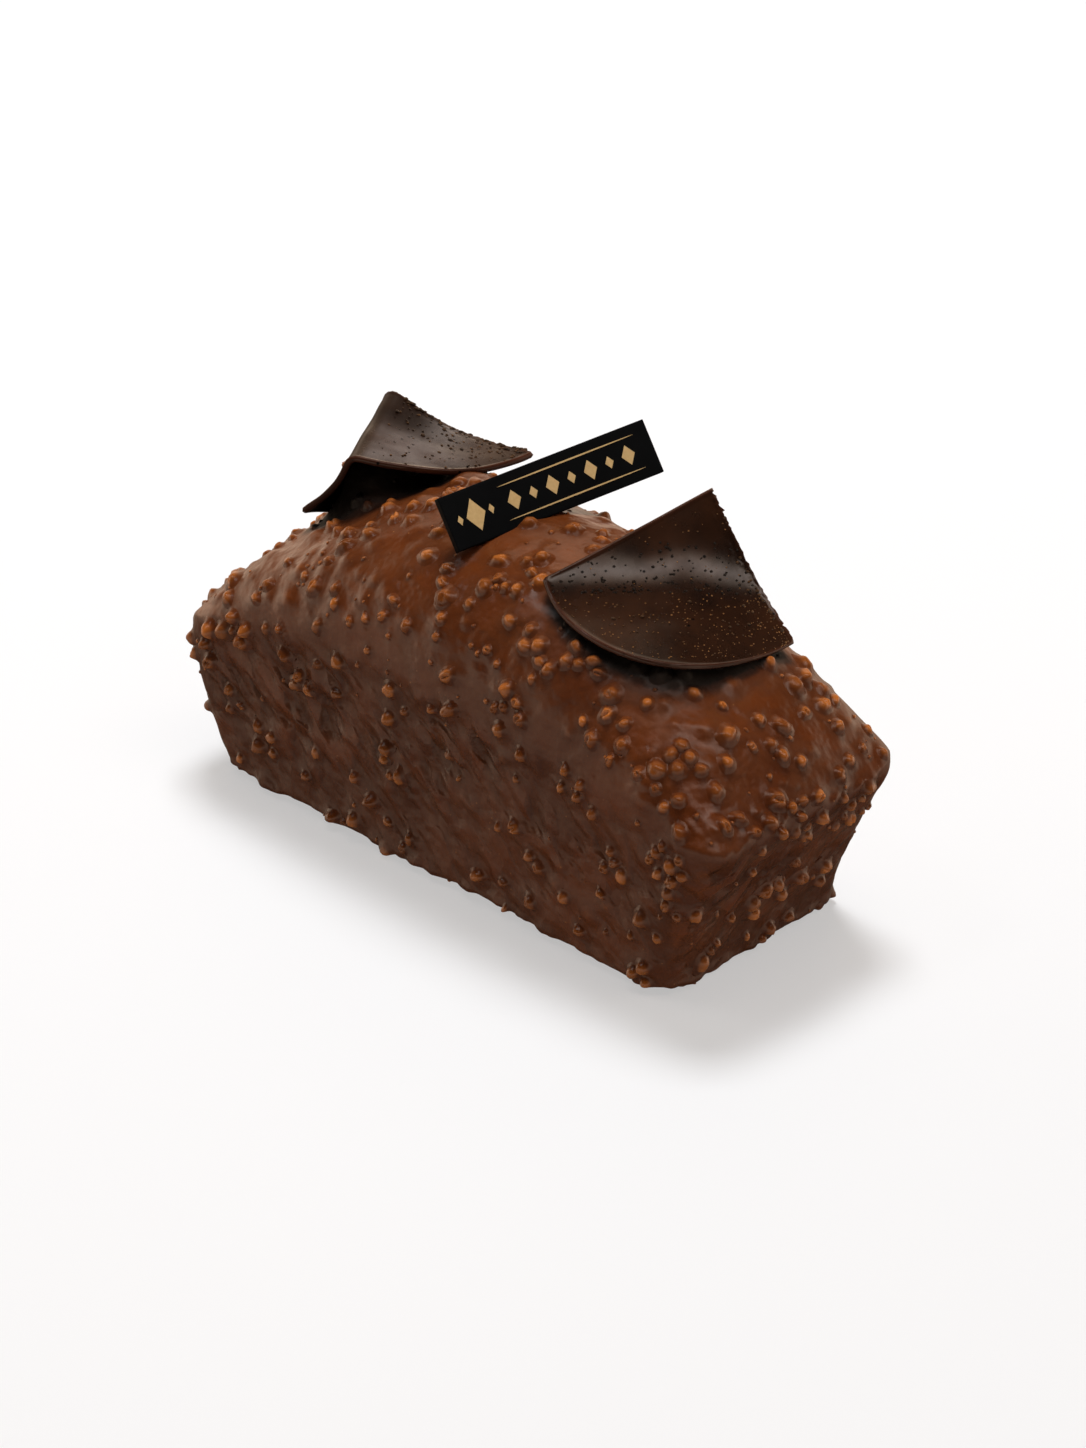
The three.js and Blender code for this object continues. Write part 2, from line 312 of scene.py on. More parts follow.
def ripples(axis, share):
    """Slanting runs on the walls along an axis; share is how fully each point belongs to them."""
    touched = np.nonzero(share > 0.01)[0]
    points = skin_points[touched]
    sway = 2.0 * wander(points, 18, 8.2)
    lean = RUN_SLANT[0] if axis == 0 else -RUN_SLANT[1]
    run = np.array([lean, RUN_SLANT[2]]) / math.hypot(lean, RUN_SLANT[2])
    flat = points[:, [axis, 2]]
    along = flat @ run
    over = flat @ np.array([-run[1], run[0]]) + sway
    slow = points[:, 1 - axis] / 30
    wide = np.column_stack([over / RUN_WIDTH, along / RUN_LENGTH, slow])
    fine = np.column_stack([over / 1.7, along / 8, slow + 4])
    crest = wander(wide, 1, 2.0) + 0.35 * wander(fine, 1, 6.0)
    result = np.zeros(len(skin_points))
    result[touched] = crest * share[touched]
    return result


upright = 1 - smooth(outward_z, 0.2, 0.5)
facing_y = smooth(np.abs(outward_y), 0.45, 0.85) * upright
facing_x = smooth(np.abs(outward_x), 0.45, 0.85) * upright
runs = ripples(0, facing_y) + ripples(1, facing_x)
upper = smooth(height / rim_here, 0.15, 0.75) * (1 - smooth(height, rim_here - 3, rim_here + 6))
calm = smooth(wander(skin_points, 30, 9.4), -0.3, 0.25)
drift = np.where(outward_y < -0.4, 1 - 0.6 * smooth(skin_points[:, 0], 20, 80), 1)
run_depth = (0.22 + 0.78 * upper * calm) * drift
ripple = RIPPLE_DEPTH * runs * run_depth
foot = (1 - smooth(height, 0.5, 6)) * (outward_z > -0.5)
lump = np.clip(wander(skin_points * [1, 1, 0.4], 5.5, 7.7) + 0.15, 0, 1)
raised = swell + ripple + foot * (0.5 + 3.2 * lump)

# The coat rises in a hill at each nut, drowned or not, and under the back shard.
finder = KDTree(len(skin_points))
for k, point in enumerate(skin_points):
    finder.insert(Vector(point), k)
finder.balance()
collar = np.zeros(len(skin_points))
ring_mark = np.zeros(len(skin_points))
hills = [(place, 0.8 * width, (0.18 if on_wall(outward) else 0.09) * width)
         for place, outward, width, _, _ in nuts]
hills += [(place, 0.6 * width, rng.uniform(0.1, 0.24) * width) for place, width in drowned]
for x, y, reach, rise in HEAPS:
    hills.append((bare_skin.ray_cast(Vector((x, y, 200)), Vector((0, 0, -1)))[0], reach, rise))
for place, reach, rise in hills:
    for _, k, distance in finder.find_range(place, 2.4 * reach):
        lift = rise * math.exp(-(distance / reach) ** 2)
        collar[k] = max(collar[k], lift) + 0.35 * min(collar[k], lift)
        # ring_mark lays a ring of painted shade round each nut's foot.
        ring_mark[k] = max(ring_mark[k], math.exp(-((distance / reach - 0.95) / 0.45) ** 2))
raised += collar
raised[(height < 0.4) & (outward_z < -0.3)] = 0
coat_points = skin_points + skin_normals * raised[:, None]
coat_points[:, 2] = np.maximum(coat_points[:, 2], 0)

run_mark = runs * run_depth
wall_mark = np.clip(facing_y + facing_x, 0, 1) * (0.35 + 0.65 * run_depth)
wall_mark *= 1 - smooth(height, rim_here - 7, rim_here + 2)
glaze = mesh_object("glaze_coat", coat_points, skin_faces, {
    "thin": 0.12 * np.clip(collar, 0, 1) - 0.22 * ring_mark,
    "run": run_mark,
    "wall": wall_mark,
    "matt": 1 - drift,
})


class Wire:
    """An output of one of a material's nodes. Sums and products of wires add Math nodes."""

    def __init__(self, tree, socket=None):
        self.tree = tree
        self.socket = socket

    def node(self, kind, settings=None, inputs=None, output=0):
        """Adds a node: its settings first, then a value or a wire for each socket."""
        made = self.tree.nodes.new(kind)
        for name, value in (settings or {}).items():
            if name == "stops":
                stops = made.color_ramp.elements
                while len(stops) < len(value):
                    stops.new(1)
                for stop, (position, colour) in zip(stops, value):
                    stop.position = position
                    stop.color = (*colour, 1)
            else:
                setattr(made, name, value)
        for name, value in (inputs or {}).items():
            if isinstance(value, Wire):
                self.tree.links.new(value.socket, made.inputs[name])
            else:
                made.inputs[name].default_value = value
        return Wire(self.tree, made.outputs[output])

    def math(self, operation, *values, clamp=False):
        settings = {"operation": operation, "use_clamp": clamp}
        return self.node("ShaderNodeMath", settings, dict(enumerate(values)))

    def __add__(self, other):
        return self.math("ADD", self, other)

    def __radd__(self, other):
        return self.math("ADD", other, self)

    def __sub__(self, other):
        return self.math("SUBTRACT", self, other)

    def __rsub__(self, other):
        return self.math("SUBTRACT", other, self)

    def __mul__(self, other):
        return self.math("MULTIPLY", self, other)

    def __rmul__(self, other):
        return self.math("MULTIPLY", other, self)

    def __pow__(self, other):
        return self.math("POWER", self, other)

    def vector(self, operation, inputs, output=0):
        return self.node("ShaderNodeVectorMath", {"operation": operation}, inputs, output)

    def clamped(self, low=0.0, high=1.0):
        """This value, read from low to high as 0 to 1 and held there."""
        return self.math("MULTIPLY_ADD", self, 1 / (high - low), -low / (high - low), clamp=True)

    def mix(self, first, second):
        """Two colours, mixed by this value."""
        pair = {0: self, 6: first, 7: second}
        return self.node("ShaderNodeMix", {"data_type": "RGBA"}, pair, 2)

    def noise(self, size, detail=2.0, roughness=0.5, place=None):
        """Noise whose bumps are about size metres across."""
        inputs = {"Vector": place or self.place(), "Scale": 0.5 / size, "Detail": detail,
                  "Roughness": roughness}
        return self.node("ShaderNodeTexNoise", {}, inputs)

    def cells(self, size):
        """The distance to the nearest of many points, about size metres apart."""
        inputs = {"Vector": self.place(), "Scale": 1 / size}
        return self.node("ShaderNodeTexVoronoi", {}, inputs)

    def place(self):
        return self.node("ShaderNodeTexCoord", output=3)

    def mark(self, name):
        """The value that the mesh holds under this name, or 0 on a mesh without it."""
        return self.node("ShaderNodeAttribute", {"attribute_name": name}, output=2)

    def bump(self, height, distance, strength=1.0, normal=None):
        inputs = {"Height": height, "Distance": distance, "Strength": strength}
        if normal is not None:
            inputs["Normal"] = normal
        return self.node("ShaderNodeBump", {}, inputs)


def rgb(red, green, blue):
    """A linear colour from its usual 0 to 255 values."""
    return tuple(((c / 255 + 0.055) / 1.055) ** 2.4 for c in (red, green, blue)) + (1.0,)


def new_finish(name):
    """A material that is one Principled shader, and the wire that its nodes start from."""
    material = bpy.data.materials.new(name)
    material.use_nodes = True
    return material, Wire(material.node_tree), material.node_tree.nodes["Principled BSDF"]


def feed(wire, shader, **inputs):
    """Sets the shader's sockets, each to a constant or a wire."""
    for name, value in inputs.items():
        socket = shader.inputs[name.replace("_", " ")]
        if isinstance(value, Wire):
            wire.tree.links.new(value.socket, socket)
        else:
            socket.default_value = value


MILK = rgb(101, 49, 18)
MILK_DEEP = rgb(83, 38, 12)
MILK_DULL = rgb(91, 50, 24)
CARAMEL = rgb(178, 102, 41)

# Runs show as darker streaks between lighter crests; their grooves are painted darker, painted shade.
# Nuts shine through where the coat is thin over them, each has a darker ring at its foot, painted
# shade, and fine caramel dust lies in patches.
glaze_finish, wire, shader = new_finish("milk_glaze")
broad = wire.noise(0.022, detail=3).clamped(0.36, 0.64)
cloud = wire.noise(0.006, detail=4, roughness=0.6).clamped(0.35, 0.68)
thin = wire.mark("thin")
body = broad.mix(MILK_DEEP, MILK)
body = (wire.mark("run") * -0.7 + cloud * 0.3).clamped(0.0, 0.6).mix(body, MILK_DULL)
flow = Vector((RUN_SLANT[0], -RUN_SLANT[1], RUN_SLANT[2])).normalized()
followed = wire.vector("DOT_PRODUCT", {0: wire.place(), 1: flow}, 1)
followed = wire.vector("SCALE", {0: flow, "Scale": followed * 0.84})
drawn_out = wire.vector("SUBTRACT", {0: wire.place(), 1: followed})
streaks = wire.noise(1 / 240, detail=1.5, roughness=0.6, place=drawn_out)
streaked = streaks.clamped(0.42, 0.6) * wire.mark("wall")
# The streaks' grooves are painted darker: painted shade.
body = (streaked * 0.6).mix(body, rgb(54, 25, 8))
# Below 0 the mark paints the darker ring at each nut's foot: painted shade.
body = (thin * -1).clamped().mix(body, rgb(50, 23, 10))
body = (thin + (cloud - 0.5) * thin).clamped().mix(body, CARAMEL)
dust = 1 - wire.cells(0.0034).clamped(0.05, 0.1)
dusting = wire.noise(0.018, detail=1).clamped(0.52, 0.64)
body = (dust * dusting * 0.5).mix(body, rgb(170, 112, 60))
# Painted shade: close under the shards the glaze is darkened nearly to black, and made duller.
shelter = wire.mark("shelter")
body = shelter.clamped(0.14, 0.85).mix(body, rgb(18, 9, 4))
pores = wire.noise(0.0011, detail=3, roughness=0.65)
skinned = wire.noise(0.004, detail=2)
relief = wire.bump(skinned - streaked * 1.3, 0.0016, 1.0)
relief = wire.bump(pores + dust * 0.5, 0.00014, 0.55, relief)
wet = (0.28 - wire.mark("matt") * 0.26 + thin.clamped() * 0.4) * (1 - streaked * 0.6)
wet = wet * (1 - shelter.clamped() * 0.92)
gloss = 0.27 + cloud * 0.1 + pores * 0.06 - thin * 0.08 + shelter.clamped() * 0.4
feed(wire, shader, Base_Color=body, Roughness=gloss, Normal=relief, Specular_IOR_Level=0.33,
     Coat_Weight=wet, Coat_Roughness=0.12)
glaze.data.materials.append(glaze_finish)
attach(glaze, "root")
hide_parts("cake")


# Chopped nuts -------------------------------------------------------------------------------------
# Pieces of roasted nut, 1 to 6 mm wide, stirred into the glaze, which coats them and draws up round
# their feet. Each is a lump over the glaze whose skirt runs out into it; some are split or bare.
NUT_RINGS = np.array([0.2, 0.4, 0.58, 0.72, 0.86, 1.0, 1.12, 1.24, 1.38, 1.65])
CRUMB_RINGS = np.array([0.4, 0.7, 0.9, 1.02, 1.25, 1.6])
# A nut's height, and how bare it is, at shares of its radius: standing proud or settled in a mound.
PROUD = ((0.0, 1.0), (0.4, 0.94), (0.72, 0.73), (0.86, 0.53), (1.0, 0.26), (1.2, 0.11), (1.65, -0.03))
SETTLED = ((0.0, 1.0), (0.4, 0.92), (0.58, 0.78), (0.72, 0.54), (0.86, 0.4), (1.0, 0.34), (1.12, 0.26),
           (1.24, 0.13), (1.38, 0.03), (1.65, -0.04))
# A bare value below 0 paints a darker ring round the nut's foot: painted shade.
PROUD_BARE = ((0.3, 1.0), (0.85, 0.7), (0.98, 0.0), (1.1, -0.35), (1.3, -0.25), (1.7, -0.1))
SETTLED_BARE = ((0.3, 1.0), (0.65, 0.7), (0.8, -0.35), (0.9, -0.25), (1.05, 0.0), (1.38, -0.2))
SUMMIT_HEIGHT, ROOT_HEIGHT = 1.02, -0.6     # the middle of a nut, and the point that closes it below


def lump_faces(rings, segments):
    """Bands between a lump's rings, then a fan round its summit and one round its root."""
    faces = []
    for k in range(rings - 1):
        for i in range(segments):
            j = (i + 1) % segments
            inner, outer = k * segments, (k + 1) * segments
            faces.append((inner + i, outer + i, outer + j, inner + j))
    summit, last = rings * segments, (rings - 1) * segments
    for i in range(segments):
        j = (i + 1) % segments
        faces.append((summit, i, j, j))
        faces.append((summit + 1, last + j, last + i, last + i))
    return np.array(faces)


def strew(pieces, rings, segments):
    """One mesh of many lumps over the glaze, with thinness of glaze and painted shade at each point."""
    faces = lump_faces(len(rings), segments)
    turn = np.linspace(0, 2 * math.pi, segments, endpoint=False)
    circle = np.column_stack([np.cos(turn), np.sin(turn), np.zeros(segments)])
    proud, settled, proud_bare, settled_bare = (
        np.interp(rings, *zip(*knots)) for knots in (PROUD, SETTLED, PROUD_BARE, SETTLED_BARE))
    all_points, all_faces, thins_and_ring_shade, runs_here = [], [], [], []
    for place, outward, width, height, split in pieces:
        basis = np.array(outward.to_track_quat("Z", "Y").to_matrix()
                         @ Matrix.Rotation(rng.uniform(0, 6.28), 3, "Z"))
        seed = rng.uniform(0, 90)
        outline = 1 + 0.22 * wander(circle, 1.1, seed) + 0.1 * wander(circle, 0.45, seed)
        stretch = rng.uniform(0.86, 1.2)
        flat = circle * outline[:, None] * [stretch, 1 / stretch, 0]
        flat = (rings[:, None, None] * flat).reshape(-1, 3)
        flat = np.vstack([flat, [[0, 0, 0]] * 2])
        sunk = rng.uniform(0, 0.3) if on_wall(outward) else rng.uniform(0.25, 0.9)
        profile = proud + (settled - proud) * sunk
        bare = proud_bare + (settled_bare - proud_bare) * sunk
        up = np.append(np.repeat(profile, segments), (SUMMIT_HEIGHT, ROOT_HEIGHT))
        up *= 1 + 0.25 * wander(flat, 0.8, seed)
        if split:       # a furrow runs in from one side and fades past the middle
            across = np.abs(flat[:, 1] - rng.uniform(-0.2, 0.2)) + 0.3 * np.maximum(-flat[:, 0], 0)
            up *= 1 - 0.6 * np.exp(-(across / 0.2) ** 2) * (np.hypot(*flat.T[:2]) < 0.95)
        _, nearest, _ = finder.find(place)
        offsets = (flat * width / 2) @ basis.T
        normal = basis[:, 2]
        points = np.array(place) + offsets
        for k, point in enumerate(points):
            hit, _, _, _ = coat.ray_cast(Vector(point + 5 * normal), -outward, 9)
            base = np.array(hit) if hit is not None else point + normal * (raised[nearest] - 0.5)
            points[k] = base + normal * (up[k] * height - 0.06)
        shown = rng.uniform(0.2, 0.75) if outward.z > UPRIGHT else rng.uniform(0.25, 0.85)
        thin_and_ring_shade_here = np.append(np.repeat(bare, segments), (1.0, 0.0))
        all_points.append(points)
        all_faces.append(faces + len(flat) * len(all_faces))
        thins_and_ring_shade.append(np.where(thin_and_ring_shade_here > 0, thin_and_ring_shade_here * shown, thin_and_ring_shade_here))
        runs_here.append(np.full(len(flat), run_mark[nearest]))
    return [np.concatenate(part) for part in (all_points, all_faces, thins_and_ring_shade, runs_here)]


coat = BVHTree.FromPolygons(coat_points.tolist(), skin_faces)
whole = strew([nut for nut in nuts if nut[2] > CRUMB_WIDTH], NUT_RINGS, segments=14)
tiny = strew([nut for nut in nuts if nut[2] <= CRUMB_WIDTH], CRUMB_RINGS, segments=9)
points = np.vstack([whole[0], tiny[0]])
points[:, 2] = np.maximum(points[:, 2], 0.02)       # none reaches under the table
faces = np.vstack([whole[1], tiny[1] + len(whole[0])])
chopped = mesh_object("chopped_nuts", points, [f[:3] if f[2] == f[3] else f for f in faces.tolist()], {
    "thin": np.hstack([whole[2], tiny[2]]),
    "run": np.hstack([whole[3], tiny[3]]),
})
chopped.data.materials.append(glaze_finish)
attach(chopped, "root")


# Front shard --------------------------------------------------------------------------------------
# A quarter of a thin dark chocolate disc, bent into a scoop while it was soft. Its point stands over
# the loaf and its lip runs out over the near end. One straight edge snapped rough, one is clean.
# A place on a shard is g and s, millimetres along its level or ridge and across that, from its point.
SHARD_HALF = 0.8                            # half the thickness of both shards
STATIONS, SPANS = 104, 92
RIM_STEPS = (0.15, 0.4, 0.8, 1.3, 1.9)      # the outermost columns lie this far inside the edges
RIM_DEPTHS, RIM_SWELL = (0.1, 0.3, 0.8, 1.3, 1.9), (0.55, 1.15, 1.32, 1.1, 1.0)


def disc_edges(s, radius, middle_g, middle_s):
    half = math.sqrt(max(radius ** 2 - (s - middle_s) ** 2, 0))
    return middle_g - half, middle_g + half


def from_line(run, slope):
    """How far a place is from a line of this slope, given how far it is from it along g."""
    return run / math.hypot(1, slope)


def sheet_normal(place, g, s):
    along = place(g + 0.05, s) - place(g - 0.05, s)
    across = place(g, s + 0.05) - place(g, s - 0.05)
    return along.cross(across).normalized()


def bend(length, slope_at):
    """A rule that gives how far out and down a bent sheet has run after s millimetres."""
    travel = np.arange(0, length + 0.05, 0.1)
    slope = slope_at(travel[:-1])
    out, down = (np.concatenate([[0], np.cumsum(part * 0.1)]) for part in (np.cos(slope), np.sin(slope)))
    return lambda s: (float(np.interp(s, travel, out)), float(np.interp(s, travel, down)))


def sheet_points(start, end, edges, place, waver, depth, pitted):
    """Rings of points round a sheet with a rounded, slightly swollen rim, one ring a station."""
    far = end - 0.2 * (end - start)
    upper_side = 1 if sheet_normal(place, sum(edges(far)) / 2, far).z > 0 else -1
    rings, edge_mark, pit_mark, under_mark = [], [], [], []
    for k in range(STATIONS + 1):
        s = start + (end - start) * (1 - math.cos(math.pi * k / STATIONS)) / 2
        left, right = edges(s)
        inset = [min(i, 0.45 * (right - left)) for i in RIM_STEPS]
        inner = np.linspace(left + inset[-1], right - inset[-1], SPANS + 1)[1:-1]
        upper = [left] + [left + i for i in inset] + list(inner) \
            + [right - i for i in reversed(inset)] + [right]
        taper = math.sqrt(min(1, max(min(s - start, end - s) / 0.7, 0.03)))
        for side, row in ((1, upper), (-1, list(reversed(upper[1:-1])))):
            for g in row:
                inside = depth(g, s)
                swell = 0 if g in (left, right) else float(np.interp(inside, RIM_DEPTHS, RIM_SWELL))
                lift = SHARD_HALF * side * swell * taper + waver(g, s)
                rings.append(place(g, s) + sheet_normal(place, g, s) * lift)
                edge_mark.append(float(np.interp(inside, (0.7, 1.6), (1, 0))))
                on_top = side == upper_side
                pit_mark.append(pitted(g, s) if on_top else 0.0)
                under_mark.append(0.0 if on_top else min(inside / 1.5, 1))
    return rings, {"edge": edge_mark, "pits": pit_mark, "under": under_mark}


def sheet_object(name, points, marks):
    size = len(points) // (STATIONS + 1)
    faces = []
    for k in range(STATIONS):
        for i in range(size):
            j = (i + 1) % size
            faces.append((k * size + i, k * size + j, (k + 1) * size + j, (k + 1) * size + i))
    faces.append(tuple(reversed(range(size))))
    faces.append(tuple(range(STATIONS * size, len(points))))
    made = mesh_object(name, points, faces, marks)
    sheet = bmesh.new()
    sheet.from_mesh(made.data)
    bmesh.ops.recalc_face_normals(sheet, faces=sheet.faces[:])
    sheet.to_mesh(made.data)
    sheet.free()
    return made


FRONT_APEX = Vector((47.5, 30.6, 129.8))
FRONT_LEVEL = Vector((0.711, 0.703, 0))
FRONT_OUTWARD = Vector((0.703, -0.711, 0))
SAG_LINE = Vector((-0.605, 0.613, -0.508))      # the rough side sags this way, on to the crown
FRONT_RADIUS, FRONT_MIDDLE = 46.5, (-6, 19.1)   # the disc's, its middle as g and s
FRONT_SNAPPED, FRONT_CLEAN = 0.453, -1.75       # the straight edges' slopes
SCOOP_STEEP, SCOOP_FLAT = 45, 14                # degrees, at the point and at the lip
scoop = bend(70, lambda s: np.radians(SCOOP_STEEP + (SCOOP_FLAT - SCOOP_STEEP) * smooth(s, 12, 50)))


def front_place(g, s):
    out, down = scoop(s)
    sag = 20 * (max(g + 14, 0) / 36) ** 1.5 * s / 57
    level = FRONT_APEX + FRONT_LEVEL * g + FRONT_OUTWARD * out
    return level + SAG_LINE * sag - Vector((0, 0, down))


def front_edges(s):
    left, right = disc_edges(s, FRONT_RADIUS, *FRONT_MIDDLE)
    ragged = 0.9 * noise.noise(Vector((s / 1.3, 4, 0))) + 0.5 * noise.noise(Vector((s / 0.5, 9, 0)))
    snapped = FRONT_SNAPPED * s - 0.5 + ragged
    clean = FRONT_CLEAN * s + 0.3 * noise.noise(Vector((s / 6, 2, 0)))
    return max(clean, left), min(max(snapped, clean + 0.6), right)


def front_waver(g, s):
    near_snap = math.exp(-((FRONT_SNAPPED * s - g) / 3.5) ** 2)
    rough = noise.noise(Vector((g / 1.1, s / 1.1, 3))) * 0.28 * near_snap
    return rough + 0.25 * noise.noise(Vector((g / 16, s / 16, 1)))


def front_depth(g, s):
    """How far inside the nearest edge of the sheet this is."""
    return min(FRONT_RADIUS - math.dist((g, s), FRONT_MIDDLE),
               from_line(g - FRONT_CLEAN * s, FRONT_CLEAN),
               from_line(FRONT_SNAPPED * s - g, FRONT_SNAPPED))


def front_pitted(g, s):
    """Pinholes lie in a band across the scoop."""
    return math.exp(-((s - 26 + 0.06 * g) / 6.5) ** 2)


front_end = FRONT_MIDDLE[1] + FRONT_RADIUS - 0.01
shard_front = sheet_object("dark_shard_front", *sheet_points(
    0.3, front_end, front_edges, front_place, front_waver, front_depth, front_pitted))

DARK = rgb(27, 14, 8)
DARK_WARM = rgb(52, 29, 16)


def dark_chocolate(name, gloss, warmth):
    """Tempered dark chocolate: clouded, with pinholes, a patchy sheen, a browner edge and painted shade.
    """
    material, wire, shader = new_finish(name)
    cloud = wire.noise(0.012, detail=4, roughness=0.6).clamped(0.35, 0.7)
    body = (cloud * warmth).mix(DARK, DARK_WARM)
    # Painted shade: where marked dull the colour is darkened too.
    body = (wire.mark("dull") * 0.55).mix(body, rgb(14, 8, 5))
    body = (wire.mark("edge") * (cloud * 0.5 + 0.3)).mix(body, rgb(74, 41, 29))
    # Pinholes are painted nearly black: painted shade in the holes.
    holes = 1 - wire.cells(0.0036).clamped(0.1, 0.17)
    holed = (wire.noise(0.006, detail=1) + wire.mark("pits") * 0.35).clamped(0.66, 0.72)
    body = (holes * holed).mix(body, rgb(10, 6, 4))
    # The underside is painted nearly black: painted shade.
    under = wire.mark("under")
    body = under.mix(body, rgb(14, 8, 5))
    grain = wire.noise(0.0006, detail=3, roughness=0.7)
    relief = wire.bump(wire.noise(0.007, detail=2), 0.0005, 0.2)
    relief = wire.bump(grain, 0.00006, 0.2, relief)
    relief = wire.bump(1 - holes * holed, 0.0004, 0.9, relief)
    patchy = wire.noise(0.0045, detail=3, roughness=0.6).clamped(0.34, 0.62)
    sheen = (0.55 + patchy * 0.45) * (1 - under * 0.95) * (1 - holes * holed * 0.9)
    sheen = sheen * (1 - wire.mark("dull") * 0.95)
    feed(wire, shader, Base_Color=body, Roughness=0.4 + grain * 0.15, Normal=relief,
         Specular_IOR_Level=0.03, Coat_Weight=sheen, Coat_Roughness=gloss)
    return material


shard_front.data.materials.append(dark_chocolate("dark_chocolate_satin", 0.16, 1.0))
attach(shard_front, "root")
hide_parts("shard_front")


# Back shard ---------------------------------------------------------------------------------------
# The other quarter disc, laid over the back of the crown: nearly flat and a little dished, with one
# wing folded down past a ridge while it was soft and a tip that turns outwards again.
BACK_APEX = Vector((-104, 40.5, 104))
BACK_RIDGE = Vector((0.561, -0.819, 0.115))
BACK_ACROSS = Vector((0.826, 0.549, -0.126))
BACK_UP = Vector((0.041, 0.167, 0.985))
BACK_RADIUS, BACK_MIDDLE = 56, (5, 2.2)
BACK_SNAPPED, BACK_CLEAN = 0.532, -0.5
FOLD_FROM, REACH, WING = 4.0, 53.0, 29.0        # the fold, the flat part's end and the wing's, as s
FOLD_ANGLE = math.radians(84)
fold = bend(36, lambda s: FOLD_ANGLE * smooth(s, 0, 6))


def back_place(g, s):
    point = BACK_APEX + BACK_RIDGE * g
    if s >= FOLD_FROM:
        dish = (4.5 - 3.5 * g / BACK_RADIUS) * math.sin(math.pi * (s - FOLD_FROM) / (REACH - FOLD_FROM))
        return point + BACK_ACROSS * s - BACK_UP * dish
    folded = FOLD_FROM - s
    out, down = fold(folded)
    tip = float(smooth(g, 30, BACK_RADIUS)) * (folded / WING) ** 2
    return point + BACK_ACROSS * (FOLD_FROM - out - 9 * tip) + BACK_UP * (4.5 * tip - down)


def back_edges(s):
    _, outer = disc_edges(s, BACK_RADIUS, *BACK_MIDDLE)
    snapped = BACK_SNAPPED * s + 0.8 * noise.noise(Vector((s / 1.5, 14, 0)))
    clean = BACK_CLEAN * s + 0.3 * noise.noise(Vector((s / 6, 12, 0)))
    return min(clean if s < 0 else snapped, outer - 0.5), outer


def back_waver(g, s):
    near_snap = math.exp(-((BACK_SNAPPED * s - g) / 4) ** 2) if s > 0 else 0
    rough = noise.noise(Vector((g / 1.2, s / 1.2, 8))) * 0.3 * near_snap
    return rough + 0.25 * noise.noise(Vector((g / 15, s / 15, 6)))


def back_depth(g, s):
    """How far inside the nearest edge of the sheet this is."""
    slope = BACK_SNAPPED if s > 0 else BACK_CLEAN
    return min(BACK_RADIUS - math.dist((g, s), BACK_MIDDLE), from_line(g - slope * s, slope), s + WING)


def back_pitted(g, s):
    """Pinholes lie all over the flat part, but for its point."""
    return float(smooth(s, 3, 9) * smooth(g, 8, 16))


back_points, back_marks = sheet_points(
    -WING, REACH, back_edges, back_place, back_waver, back_depth, back_pitted)
# It is dull at its point, towards its far edge and on the wing, and painted darker there: painted shade.
ridgeward, across = ((np.array(back_points) - BACK_APEX) @ np.column_stack([BACK_RIDGE, BACK_ACROSS])).T
at_point = (1 - smooth(ridgeward, 22, 46)) * (1 - smooth(across, 12, 28))
at_far_edge = 0.7 * smooth(across, 26, 52)
on_wing = 0.9 * (1 - smooth(across, 0, FOLD_FROM))
back_marks["dull"] = np.maximum.reduce([at_point, at_far_edge, on_wing])
shard_back = sheet_object("dark_shard_back", back_points, back_marks)
shard_back.data.materials.append(dark_chocolate("dark_chocolate_glossy", 0.14, 0.8))
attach(shard_back, "root")
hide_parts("shard_back")


# Painted shade under the shards -------------------------------------------------------------------
# Close under the two shards the glaze is painted nearly black and made duller: painted shade.
# Every point of the coat and of the nuts is marked with how much of the open air above it the shards
# cover.
SHARD_NEAR, AIR_ABOVE = 0.03, 0.06      # metres, how near a shard has to be and how far up it covers
cover = [BVHTree.FromPolygons([v.co for v in shard.data.vertices],
                              [p.vertices for p in shard.data.polygons])
         for shard in (shard_front, shard_back)]
openings = [Vector((tilt_x - 0.4, tilt_y + 0.4, 1)).normalized()
            for tilt_x in (-0.4, 0, 0.4) for tilt_y in (-0.4, 0, 0.4)]
for piece in (glaze, chopped):
    painted_shade_here = np.zeros(len(piece.data.vertices), np.float32)
    for k, vertex in enumerate(piece.data.vertices):
        for shard in cover:
            _, _, _, distance = shard.find_nearest(vertex.co, SHARD_NEAR)
            if distance is not None and vertex.normal.z > -0.2:
                start = vertex.co + vertex.normal * 0.0005
                hits = sum(shard.ray_cast(start, way, AIR_ABOVE)[0] is not None for way in openings)
                covered = hits / len(openings) * (1 - distance / SHARD_NEAR) ** 0.5
                painted_shade_here[k] = max(painted_shade_here[k], covered)
    layer = piece.data.attributes.new("shelter", "FLOAT", "POINT")
    layer.data.foreach_set("value", painted_shade_here)


# Nib crumbs ---------------------------------------------------------------------------------------
# Grains of roasted cocoa nib, 0.4 to 2 mm wide, that set on both shards while they were soft.
# They lie thick along the snapped edges and thin out towards the clean ones.
SPRINKLED_ON_FRONT = [      # stretch of s, grains, seed, widths, spread, tints
    ((8, 62), 430, 1, (0.4, 0.75), 0.5, (0.2, 1.0)), ((8, 50), 36, 3, (0.9, 1.6), 0.08, (0.2, 0.4)),
    ((17, 35), 170, 5, (0.55, 1.3), 1.0, (0.0, 0.0))]
SPRINKLED_ON_BACK = [
    ((6, 52), 190, 2, (0.5, 1.3), 0.5, (0.0, 0.5)), ((6, 52), 70, 4, (1.0, 2.2), 0.12, (0.1, 0.35))]


